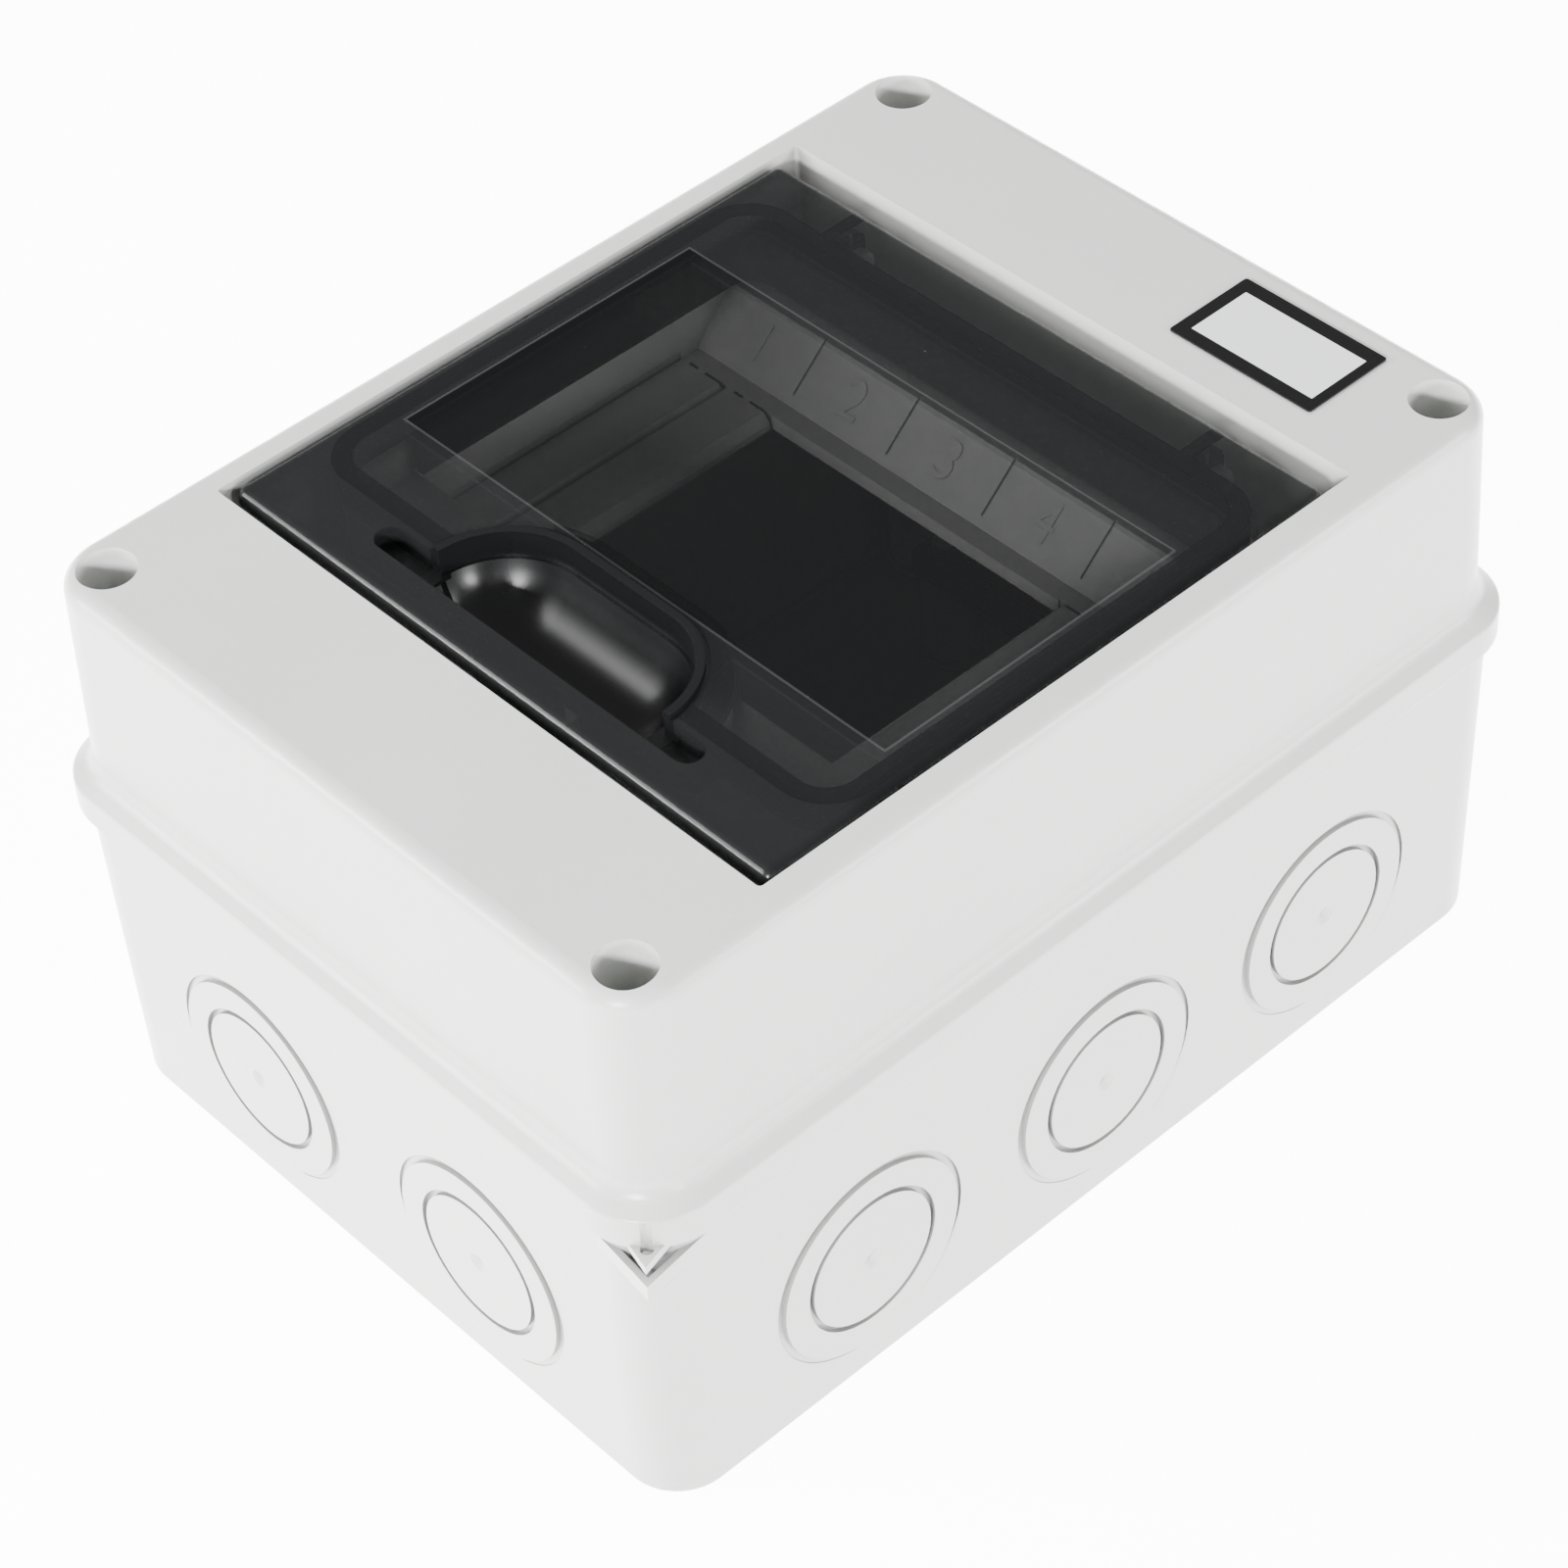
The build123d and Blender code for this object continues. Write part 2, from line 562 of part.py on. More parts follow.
def make_door():
    """Smoked door with its scoop, skirt, seal channel and hinge arms."""
    x = recess_x - DOOR_SIDE_GAP
    y0 = -RECESS_NEAR + DOOR_NEAR_GAP
    y1 = RECESS_FAR - DOOR_FAR_GAP
    outline = Pos(0, (y0 + y1) / 2) * RectangleRounded(2 * x, y1 - y0, DOOR_CORNER)
    plate = Pos(0, 0, door_bottom) * extrude(outline, amount=DOOR_THICK)
    plate = fillet(edges_at(plate, door_top), DOOR_ROUND)
    bead = scoop_outline(BEAD_WIDTH) - scoop_outline(0)
    ahead = Pos(0, outside / 2 - SCOOP_Y) * Rectangle(outside, outside)
    plate += Pos(0, 0, door_top - 0.5) * extrude(bead & ahead, amount=BEAD_HEIGHT + 0.5)
    half = SEAL_WIDTH / 2
    plate += seal_ring(half + PLAY / 3, half + PLAY / 3 + CHANNEL_WALL, door_bottom - CHANNEL_DEPTH, door_bottom)
    plate += skirt()
    plate += bowl(SCOOP_RADIUS + SCOOP_WALL)
    plate -= bowl(SCOOP_RADIUS)
    plate -= Pos(0, 0, door_bottom - 1) * extrude(scoop_outline(0) & ahead, amount=DOOR_THICK + 3)
    slot = Pos(0, -(SLOT_NEAR + SCOOP_Y) / 2) * SlotOverall(2 * SLOT_END, slot_width)
    plate -= Pos(0, 0, door_bottom - 1) * extrude(slot, amount=DOOR_THICK + 3)
    for side in (-1, 1):
        x0 = side * ARM_X - ARM_WIDTH / 2
        x1 = side * ARM_X + ARM_WIDTH / 2
        plate += eye(x0, x1, ARM_EYE, ARM_EYE, door_bottom + 0.5)
        plate += block(x0, x1, SEAL_FAR + half, HINGE_Y + ARM_EYE, door_bottom - 1.2, door_bottom + 0.5)
        plate -= cross_rod(x0 - 1, x1 + 1, HINGE_Y, hinge_z, PIN_RADIUS + FIT)
    return plate


def bowl(radius):
    """Quarter capsule below the door's top, open towards the slot."""
    shape = cross_rod(-SCOOP_SPAN, SCOOP_SPAN, -SCOOP_Y, door_top, radius)
    shape += Pos(-SCOOP_SPAN, -SCOOP_Y, door_top) * Sphere(radius)
    shape += Pos(SCOOP_SPAN, -SCOOP_Y, door_top) * Sphere(radius)
    return shape & block(-outside, outside, -SCOOP_Y, 0, door_top - radius - 1, door_top)


def skirt():
    """Inner wall under the door on its two sides and its hinge end."""
    edge = -SEAL_WIDTH / 2 - SKIRT_GAP
    wall = seal_ring(edge - SKIRT_WALL, edge, door_bottom - SKIRT_DEPTH, door_bottom)
    return wall & block(-outside, outside, -HOPPER_NEAR, outside, 0, TOP)


def make_hook():
    """Latch hook that hangs under the springy bar of the door."""
    face = -hook_face
    back = face + HOOK_THICK
    low = door_bottom - HOOK_LENGTH
    half = HOOK_WIDTH / 2
    profile = Polygon((face, door_bottom), (face, low), (back, low), (back + HOOK_NOSE, low + NOSE_HEIGHT * 0.6),
                      (back + HOOK_NOSE, low + NOSE_HEIGHT), (back, low + NOSE_HEIGHT), (back, door_bottom),
                      align=None)
    return extrude(Plane.YZ * profile, amount=half, both=True)


def make_rail():
    """Top-hat rail with its row of slots."""
    channel = RAIL_CHANNEL / 2
    top = RAIL_BACK + RAIL_HEIGHT
    rail = block(-rail_x, rail_x, -channel, channel, RAIL_BACK, RAIL_BACK + RAIL_SHEET)
    for sy in (-1, 1):
        y0, y1 = sorted((sy * channel, sy * (channel - RAIL_SHEET)))
        rail += block(-rail_x, rail_x, y0, y1, RAIL_BACK, top)
        y0, y1 = sorted((sy * (channel - RAIL_SHEET), sy * RAIL_WIDTH / 2))
        rail += block(-rail_x, rail_x, y0, y1, top - RAIL_SHEET, top)
    for i in range(4):
        x = (i - 1.5) * RAIL_SLOT_PITCH
        slot = Pos(x, 0, RAIL_BACK - 1) * extrude(SlotOverall(RAIL_SLOT, RAIL_SLOT_WIDTH), amount=RAIL_SHEET + 2)
        rail -= slot
    return rail


def screw(x, y, tip, head_z, radius, head_radius, head_height, slit):
    """Upright screw with a cheese head and a straight slit."""
    body = post(x, y, radius, tip, head_z) + post(x, y, head_radius, head_z, head_z + head_height)
    top = head_z + head_height
    return body - block(x - head_radius - 1, x + head_radius + 1, y - slit / 2, y + slit / 2,
                        top - head_height * 0.45, top + 1)


def make_bar(sy):
    """Brass terminal bar with a wire hole and a tapped hole for each way."""
    y = sy * bar_y
    bottom = POST_TOP + CARRIER_THICK
    bar = block(-BAR_LENGTH / 2, BAR_LENGTH / 2, y - BAR_WIDTH / 2, y + BAR_WIDTH / 2, bottom, bottom + BAR_HEIGHT)
    for x in way_places():
        wire = Pos(x, y, bottom + WIRE_RISE) * Rot(90, 0, 0) * Cylinder(WIRE_RADIUS, BAR_WIDTH + 2)
        bar -= wire
        bar -= post(x, y, WAY_SCREW + FIT, bottom + WIRE_RISE, bottom + BAR_HEIGHT + 1)
    return bar


def way_places():
    """Middle of each way of a terminal bar along X."""
    return [(i - (WAYS - 1) / 2) * WAY_PITCH for i in range(WAYS)]


def make_way_screws(sy):
    """Terminal screws of one bar, backed off clear of their wire holes."""
    bottom = POST_TOP + CARRIER_THICK
    tip = bottom + WIRE_RISE + WIRE_RADIUS + 0.1
    head = bottom + BAR_HEIGHT + WAY_SCREW_RISE
    screws = [screw(x, sy * bar_y, tip, head, WAY_SCREW, WAY_SCREW_HEAD, WAY_SCREW_HEAD_HEIGHT, 0.8)
              for x in way_places()]
    return Compound(children=screws)


def make_carrier(sy):
    """Insulating carrier that holds a terminal bar between two cheeks."""
    y = sy * bar_y
    half = CARRIER_LENGTH / 2
    plate = block(-half, half, y - CARRIER_WIDTH / 2, y + CARRIER_WIDTH / 2, POST_TOP, POST_TOP + CARRIER_THICK)
    plate = fillet(plate.edges().filter_by(Axis.Z), 2.0)
    bar_x = BAR_LENGTH / 2
    stop_x = bar_x + CARRIER_CHEEK * 0.8
    for way in (-1, 1):
        y0, y1 = sorted((y + way * BAR_WIDTH / 2, y + way * (BAR_WIDTH / 2 + CARRIER_CHEEK)))
        plate += block(-stop_x, stop_x, y0, y1, POST_TOP + 1, POST_TOP + CARRIER_THICK + CARRIER_CHEEK)
        x0, x1 = sorted((way * bar_x, way * stop_x))
        plate += block(x0, x1, y - BAR_WIDTH / 2, y + BAR_WIDTH / 2, POST_TOP + 1,
                       POST_TOP + CARRIER_THICK + BAR_HEIGHT / 2)
    for x in (-POST_X, POST_X):
        plate -= post(x, y, POST_SCREW + PLAY, POST_TOP - 1, POST_TOP + CARRIER_THICK + 1)
    return plate


def make_base_seal():
    """Endless cord in the groove of the base's rim, up to the cover's flange."""
    play = FIT
    outer = GROOVE_INSET + play
    inner = GROOVE_INSET + GROOVE_WIDTH - play
    z0 = RIM_TOP - GROOVE_DEPTH
    ring = slab(base_x - outer, base_y - outer, BASE_CORNER - outer, z0, flange_z)
    return ring - slab(base_x - inner, base_y - inner, BASE_CORNER - inner, z0 - 1, flange_z + 1)


def make_screw_seals():
    """Rubber washers on the floors of the screw wells."""
    rings = [post(x, y, SEAL_RADIUS, well_floor, well_floor + SEAL_THICK)
             - post(x, y, SCREW_RADIUS + PLAY, well_floor - 1, well_floor + SEAL_THICK + 1) for x, y in corners]
    return Compound(children=rings)


def make_inserts():
    """Brass inserts in the tops of the pillars."""
    rings = [post(x, y, INSERT_RADIUS, RIM_TOP - INSERT_LENGTH, RIM_TOP)
             - post(x, y, SCREW_RADIUS + FIT, RIM_TOP - INSERT_LENGTH - 1, RIM_TOP + 1) for x, y in corners]
    return Compound(children=rings)


def make_rail_screws():
    """Two screws that hold the rail on its bosses."""
    head = RAIL_BACK + RAIL_SHEET
    screws = [screw(sx * 1.5 * RAIL_SLOT_PITCH, 0, RAIL_BACK - RAIL_SCREW_LENGTH, head, RAIL_SCREW,
                    RAIL_SCREW_HEAD, RAIL_SCREW_HEAD_HEIGHT, 0.9) for sx in (-1, 1)]
    return Compound(children=screws)


def make_carrier_screws():
    """Four screws that hold the two carriers on their posts."""
    head = POST_TOP + CARRIER_THICK
    screws = [screw(sx * POST_X, sy * bar_y, POST_TOP - POST_SCREW_LENGTH, head, POST_SCREW, POST_SCREW_HEAD,
                    POST_SCREW_HEAD_HEIGHT, 0.7) for sx in (-1, 1) for sy in (-1, 1)]
    return Compound(children=screws)


def make_pin(side):
    """Steel hinge pin through one arm and its two lugs."""
    half = ARM_WIDTH / 2 + PLAY + LUG_WIDTH
    return cross_rod(side * ARM_X - half, side * ARM_X + half, HINGE_Y, hinge_z, PIN_RADIUS)


def make_label():
    """Thin label stuck on the cover beside the door."""
    outline = Pos(label_x, label_y) * RectangleRounded(LABEL_WIDTH, LABEL_LENGTH, 0.4)
    return Pos(0, 0, TOP) * extrude(outline, amount=LABEL_THICK)


def cover_screw(x, y):
    """Captive screw that stands in one well of the cover."""
    head = well_floor + SEAL_THICK
    return screw(x, y, screw_tip, head, SCREW_RADIUS, SCREW_HEAD, SCREW_HEAD_HEIGHT, SCREW_SLIT)


parts = {
    "base_box": make_base(),
    "cover": make_cover(),
    "door": make_door(),
    "latch_hook": make_hook(),
    "door_gasket": seal_ring(-SEAL_WIDTH / 2, SEAL_WIDTH / 2, rib_top + FIT, door_bottom),
    "cover_gasket": make_base_seal(),
    "hinge_pin_left": make_pin(-1),
    "hinge_pin_right": make_pin(1),
    "screw_seals": make_screw_seals(),
    "pillar_inserts": make_inserts(),
    "din_rail": make_rail(),
    "rail_screws": make_rail_screws(),
    "neutral_bar": make_bar(-1),
    "earth_bar": make_bar(1),
    "neutral_carrier": make_carrier(-1),
    "earth_carrier": make_carrier(1),
    "neutral_screws": make_way_screws(-1),
    "earth_screws": make_way_screws(1),
    "carrier_screws": make_carrier_screws(),
    "label_plate": make_label(),
}
for number, (x, y) in enumerate(corners, start=1):
    parts[f"cover_screw_{number}"] = cover_screw(x, y)
for name, shape in parts.items():
    export_step(shape, f"parts/{name}.step")
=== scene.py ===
"""Looks of a small weatherproof breaker box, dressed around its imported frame.

The box lies on its back: X is its width, Y its length towards the hinge end, Z its height.
Sizes are in metres.
"""
from __future__ import annotations

import logging
import math
from dataclasses import dataclass
from enum import Enum
from typing import Callable, Union

import bmesh
import bpy
from mathutils import Matrix, Vector

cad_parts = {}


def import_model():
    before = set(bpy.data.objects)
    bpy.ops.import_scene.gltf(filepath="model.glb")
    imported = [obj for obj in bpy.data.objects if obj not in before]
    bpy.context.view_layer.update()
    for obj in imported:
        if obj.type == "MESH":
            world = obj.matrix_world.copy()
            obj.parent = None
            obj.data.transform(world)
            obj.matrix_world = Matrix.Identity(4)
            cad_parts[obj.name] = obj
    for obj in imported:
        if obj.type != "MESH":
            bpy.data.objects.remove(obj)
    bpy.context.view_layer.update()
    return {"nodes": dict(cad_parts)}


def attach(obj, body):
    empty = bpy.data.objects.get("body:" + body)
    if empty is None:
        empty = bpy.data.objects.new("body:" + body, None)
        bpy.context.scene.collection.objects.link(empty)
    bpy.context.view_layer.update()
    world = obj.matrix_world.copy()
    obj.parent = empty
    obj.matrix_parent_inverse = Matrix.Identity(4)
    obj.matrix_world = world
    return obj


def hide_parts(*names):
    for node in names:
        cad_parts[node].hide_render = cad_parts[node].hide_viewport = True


LOG = logging.getLogger("breaker_box")
MM = 0.001
Point = tuple[float, float, float]
Colour = tuple[float, float, float]
Flat = tuple[float, float]


class Direction(Enum):
    """Directions in which faces are picked."""

    UP = (0.0, 0.0, 1.0)
    DOWN = (0.0, 0.0, -1.0)


class Signal:
    """A node socket that carries a number, with arithmetic that adds Math nodes."""

    def __init__(self, bench: "Bench", socket: bpy.types.NodeSocket) -> None:
        """Wraps one socket.

        Args:
            bench: The bench that adds the nodes.
            socket: The output socket that carries the number.
        """
        self.bench = bench
        self.socket = socket

    def _math(self, operation: str, *values: "Number") -> "Signal":
        """Adds one Math node.

        Args:
            operation: The node's operation.
            values: Its inputs, in order.

        Returns:
            The result.
        """
        return self.bench.add("ShaderNodeMath", {"operation": operation}, dict(enumerate(values)))

    def __add__(self, other: "Number") -> "Signal":
        """Sum."""
        return self._math("ADD", self, other)

    __radd__ = __add__

    def __sub__(self, other: "Number") -> "Signal":
        """Difference."""
        return self._math("SUBTRACT", self, other)

    def __rsub__(self, other: "Number") -> "Signal":
        """Difference, turned round."""
        return self._math("SUBTRACT", other, self)

    def __mul__(self, other: "Number") -> "Signal":
        """Product."""
        return self._math("MULTIPLY", self, other)

    __rmul__ = __mul__

    def __truediv__(self, other: "Number") -> "Signal":
        """Quotient."""
        return self._math("DIVIDE", self, other)

    def size(self) -> "Signal":
        """Absolute value."""
        return self._math("ABSOLUTE", self)

    def least(self, other: "Number") -> "Signal":
        """Smaller of two numbers."""
        return self._math("MINIMUM", self, other)

    def most(self, other: "Number") -> "Signal":
        """Larger of two numbers."""
        return self._math("MAXIMUM", self, other)

    def root(self) -> "Signal":
        """Square root."""
        return self._math("SQRT", self)

    def ramp(self, low: float, high: float) -> "Signal":
        """Smooth step from 0 at low to 1 at high.

        Args:
            low: Where the step begins.
            high: Where it ends.

        Returns:
            The stepped number.
        """
        return self.bench.add("ShaderNodeMapRange", {"interpolation_type": "SMOOTHSTEP"},
                              {"Value": self, "From Min": low, "From Max": high}, "Result")


Number = Union[Signal, float]


class Bench:
    """Lays out the nodes of one material."""

    def __init__(self, name: str) -> None:
        """Starts an empty material with a Principled shader.

        Args:
            name: The material's name.
        """
        self.material = bpy.data.materials.new(name)
        self.material.use_nodes = True
        self.tree = self.material.node_tree
        self.tree.nodes.clear()
        self.shader = self.tree.nodes.new("ShaderNodeBsdfPrincipled")
        output = self.tree.nodes.new("ShaderNodeOutputMaterial")
        self.tree.links.new(self.shader.outputs["BSDF"], output.inputs["Surface"])

    def add(self, kind: str, settings: dict[str, object], inputs: dict,
            result: str | int = 0) -> Signal:
        """Adds a node.

        Args:
            kind: The node's type.
            settings: Attributes that are set before its inputs.
            inputs: Socket names or numbers with their values or signals.
            result: The output that is wanted.

        Returns:
            That output.
        """
        node = self.tree.nodes.new(kind)
        for key, value in settings.items():
            setattr(node, key, value)
        for key, value in inputs.items():
            self.feed(node.inputs[key], value)
        return Signal(self, node.outputs[result])

    def feed(self, socket: bpy.types.NodeSocket, value: object) -> None:
        """Links a signal to a socket, or sets the socket's own value.

        Args:
            socket: The input socket.
            value: A signal, a number, a vector or a colour.
        """
        if isinstance(value, Signal):
            self.tree.links.new(value.socket, socket)
        elif isinstance(value, tuple) and len(value) == 3 and socket.type == "RGBA":
            socket.default_value = (*value, 1.0)
        else:
            socket.default_value = value

    def place(self) -> Signal:
        """Object coordinates, as a vector."""
        return self.add("ShaderNodeTexCoord", {}, {}, "Object")

    def axes(self) -> tuple[Signal, Signal, Signal]:
        """Object coordinates, as three numbers."""
        first = self.add("ShaderNodeSeparateXYZ", {}, {"Vector": self.place()}, "X")
        node = first.socket.node
        return first, Signal(self, node.outputs["Y"]), Signal(self, node.outputs["Z"])

    def noise(self, cell: float, detail: float = 2.0, rough: float = 0.5) -> Signal:
        """Soft noise.

        Args:
            cell: Size of its features.
            detail: Octaves.
            rough: Weight of the finer octaves.

        Returns:
            Noise from 0 to 1.
        """
        return self.add("ShaderNodeTexNoise", {},
                        {"Vector": self.place(), "Scale": 1.0 / cell, "Detail": detail,
                         "Roughness": rough})

    def blend(self, factor: Number, low: object, high: object) -> Signal:
        """Mixes two colours.

        Args:
            factor: Share of the second.
            low: First colour or signal.
            high: Second colour or signal.

        Returns:
            The mixed colour.
        """
        node = self.tree.nodes.new("ShaderNodeMix")
        node.data_type = "RGBA"
        self.feed(node.inputs[0], factor)
        self.feed(node.inputs[6], low)
        self.feed(node.inputs[7], high)
        return Signal(self, node.outputs[2])

    def relief(self, height: Signal, distance: float, strength: float = 1.0) -> Signal:
        """Bump from a height.

        Args:
            height: Height from 0 to 1.
            distance: Depth of the relief.
            strength: Share of it.

        Returns:
            The bumped normal.
        """
        return self.add("ShaderNodeBump", {},
                        {"Height": height, "Distance": distance, "Strength": strength}, "Normal")

    def finish(self, **sockets: object) -> bpy.types.Material:
        """Feeds the shader.

        Args:
            sockets: Socket names, with underscores for spaces, and their values.

        Returns:
            The finished material.
        """
        for key, value in sockets.items():
            self.feed(self.shader.inputs[key.replace("_", " ")], value)
        return self.material


def rectangle(x: Signal, y: Signal, middle: Flat, half: Flat) -> Signal:
    """Signed distance from the edge of an upright rectangle, negative inside.

    Args:
        x: First coordinate.
        y: Second coordinate.
        middle: The rectangle's middle.
        half: Its half sizes.

    Returns:
        The larger of the two edge distances.
    """
    across = (x - middle[0]).size() - half[0]
    along = (y - middle[1]).size() - half[1]
    return across.most(along)


def rounded(x: Signal, y: Signal, middle: Flat, half: Flat, corner: float) -> Signal:
    """Signed distance from the edge of an upright rectangle with round corners, negative inside.

    Args:
        x: First coordinate.
        y: Second coordinate.
        middle: The rectangle's middle.
        half: Its half sizes.
        corner: Radius of its corners.

    Returns:
        The distance.
    """
    across = (x - middle[0]).size() - (half[0] - corner)
    along = (y - middle[1]).size() - (half[1] - corner)
    outside = (across.most(0.0) * across.most(0.0) + along.most(0.0) * along.most(0.0)).root()
    return outside + across.most(along).least(0.0) - corner


@dataclass(frozen=True)
class GreyMoulding:
    """Warm light grey thermoplastic with a fine spark-eroded texture, and painted shade in its
    corners, grooves and hollows.
    """

    name: str = "light_grey_moulding"
    light: Colour = (0.630, 0.638, 0.620)
    dark: Colour = (0.605, 0.613, 0.596)
    painted_shade: Colour = (0.20, 0.205, 0.20)
    shade_reach: float = 5.0 * MM
    shade_fade: Flat = (0.25, 0.95)
    shade_floor_fade: Flat = (2.0 * MM, 8.0 * MM)
    cloud: float = 28.0 * MM
    speck: float = 1.2 * MM
    speck_share: float = 0.3
    roughness: float = 0.33
    gloss_cell: float = 9.0 * MM
    gloss_drift: float = 0.10
    grain: float = 0.35 * MM
    grain_depth: float = 0.012 * MM
    refraction: float = 1.5

    def material(self) -> bpy.types.Material:
        """Mottled colour with painted shade in corners and grooves, uneven gloss, and the grain as
        relief.
        """
        bench = Bench(self.name)
        cloud = bench.noise(self.cloud, 3.0)
        speck = bench.noise(self.speck, 2.0)
        mottle = (cloud * (1.0 - self.speck_share) + speck * self.speck_share).ramp(0.3, 0.7)
        colour = bench.blend(mottle, self.dark, self.light)
        # Painted shade: the colour darkens towards a dark grey where ambient occlusion finds
        # nearby surfaces, and this fades out within 8 mm of the floor.
        occlusion = bench.add("ShaderNodeAmbientOcclusion", {"samples": 8},
                             {"Distance": self.shade_reach}, "AO")
        above = bench.axes()[2].ramp(*self.shade_floor_fade)
        unshaded = occlusion.ramp(*self.shade_fade).most(1.0 - above)
        colour = bench.blend(unshaded, self.painted_shade, colour)
        rough = self.roughness + (bench.noise(self.gloss_cell, 2.0) - 0.5) * self.gloss_drift
        relief = bench.relief(bench.noise(self.grain, 2.0, 0.6), self.grain_depth, 0.6)
        return bench.finish(Base_Color=colour, Roughness=rough, Normal=relief, IOR=self.refraction)


@dataclass(frozen=True)
class SmokedDoor:
    """Smoked plastic, polished over the window and in the scoop, and frosted elsewhere.

    How clear the plastic is differs by zone. Over the near and left strips it is less clear, which
    paints the shade that lies on the tray under them. A lighter line along the window's edge is
    a painted highlight. The band over the seal and the bars at the hinge are drawn dark here,
    because the built parts hardly show through the frosting.
    """

    name: str = "smoked_door"
    tint: Colour = (0.004, 0.0045, 0.005)
    frost: Colour = (0.011, 0.012, 0.0125)
    edge_highlight: Colour = (0.05, 0.052, 0.054)
    window_middle: Flat = (0.0, 0.35 * MM)
    window_half: Flat = (44.7 * MM, 24.85 * MM)
    window_edge: float = 0.05 * MM
    edge_highlight_width: float = 0.22 * MM
    scoop_y: float = -38.6 * MM
    scoop_span: float = 9.0 * MM
    scoop_radius: float = 14.0 * MM
    scoop_edge: float = 0.4 * MM
    slot_near: float = -42.9 * MM
    slot_edge: float = 0.1 * MM
    plate_bottom: float = 86.3 * MM
    bottom_fade: Flat = (0.15 * MM, 0.05 * MM)
    bar_middle: Flat = (33.0 * MM, 41.7 * MM)
    bar_half: Flat = (1.2 * MM, 3.9 * MM)
    bar_edge: float = 0.2 * MM
    band_middle: Flat = (0.0, 0.95 * MM)
    band_half: Flat = (47.0 * MM, 37.25 * MM)
    band_corner: float = 6.0 * MM
    band_width: float = 2.8 * MM
    band_edge: float = 0.1 * MM
    shaded_near: float = -30.0 * MM
    near_fade: float = 6.0 * MM
    shaded_left: float = -41.0 * MM
    left_fade: float = 3.0 * MM
    rounded_near: float = -48.5 * MM
    rounded_fade: float = 0.4 * MM
    clear_alpha: float = 0.52
    frost_alpha: float = 0.62
    shaded_alpha: float = 0.80
    under_alpha: float = 0.72
    edge_highlight_alpha: float = 0.58
    bar_alpha: float = 0.9
    band_alpha: float = 0.95
    solid_alpha: float = 0.97
    polish: float = 0.08
    frost_rough: float = 0.17
    near_rough: float = 0.15
    scoop_rough: float = 0.20
    gloss_cell: float = 14.0 * MM
    gloss_drift: float = 0.04
    grain: float = 0.45 * MM
    grain_depth: float = 0.02 * MM
    refraction: float = 1.58

    def scoop(self, x: Signal, y: Signal) -> Signal:
        """Mask of the finger scoop, up to the latch strip.

        Args:
            x: Place along X.
            y: Place along Y.

        Returns:
            1 in the scoop, 0 outside.
        """
        past = (x.size() - self.scoop_span).most(0.0)
        reach = (past * past + (y - self.scoop_y) * (y - self.scoop_y)).root()
        inside = 1.0 - reach.ramp(self.scoop_radius - self.scoop_edge, self.scoop_radius)
        return inside * y.ramp(self.slot_near - self.slot_edge, self.slot_near)

    def band(self, x: Signal, y: Signal) -> Signal:
        """Mask of the dark band over the door's seal.

        Args:
            x: Place along X.
            y: Place along Y.

        Returns:
            1 over the seal, 0 elsewhere.
        """
        away = rounded(x, y, self.band_middle, self.band_half, self.band_corner).size()
        half = self.band_width / 2
        return 1.0 - away.ramp(half - self.band_edge, half + self.band_edge)

    def material(self) -> bpy.types.Material:
        """Masks for the zones of the door, on one smoked plastic."""
        bench = Bench(self.name)
        x, y, z = bench.axes()
        edge = rectangle(x, y, self.window_middle, self.window_half)
        frosted = edge.ramp(-self.window_edge, self.window_edge)
        # Painted highlight: a lighter, more opaque line along the window's edge.
        highlight_line = 1.0 - (edge.size() / self.edge_highlight_width).ramp(0.5, 1.0)
        scoop = self.scoop(x, y)
        lower, upper = self.bottom_fade
        under = 1.0 - z.ramp(self.plate_bottom - lower, self.plate_bottom - upper)
        bar = rectangle(x.size(), y, self.bar_middle, self.bar_half)
        bar = 1.0 - bar.ramp(-self.bar_edge, self.bar_edge)
        band = self.band(x, y)
        colour = bench.blend(frosted * (1.0 - band), self.tint, self.frost)
        colour = bench.blend(highlight_line, colour, self.edge_highlight)
        colour = bench.blend(scoop.most(under).most(bar), colour, self.tint)
        # Painted shade: the near and left strips are made less clear, so the door's dark tint
        # stands in for the shaded tray under them.
        clearer = y.ramp(self.shaded_near - self.near_fade, self.shaded_near)
        clearer = clearer * x.ramp(self.shaded_left - self.left_fade, self.shaded_left)
        strip_alpha = self.shaded_alpha - clearer * (self.shaded_alpha - self.frost_alpha)
        alpha = self.clear_alpha + frosted * (strip_alpha - self.clear_alpha)
        alpha = alpha.most(bar * self.bar_alpha).most(band * self.band_alpha)
        alpha = alpha.most(highlight_line * self.edge_highlight_alpha).most(scoop * self.solid_alpha)
        alpha = alpha.most(under * self.under_alpha)
        frost_only = frosted * (1.0 - scoop)
        near = 1.0 - y.ramp(self.rounded_near - self.rounded_fade, self.rounded_near)
        rough = self.polish + frost_only * self.frost_rough + near * self.near_rough
        rough = rough + scoop * self.scoop_rough
        rough = rough + (bench.noise(self.gloss_cell, 2.0) - 0.5) * self.gloss_drift
        grain = bench.noise(self.grain, 2.0, 0.6) * frost_only
        return bench.finish(Base_Color=colour, Roughness=rough, Alpha=alpha,
                            IOR=self.refraction, Normal=bench.relief(grain, self.grain_depth, 0.5))


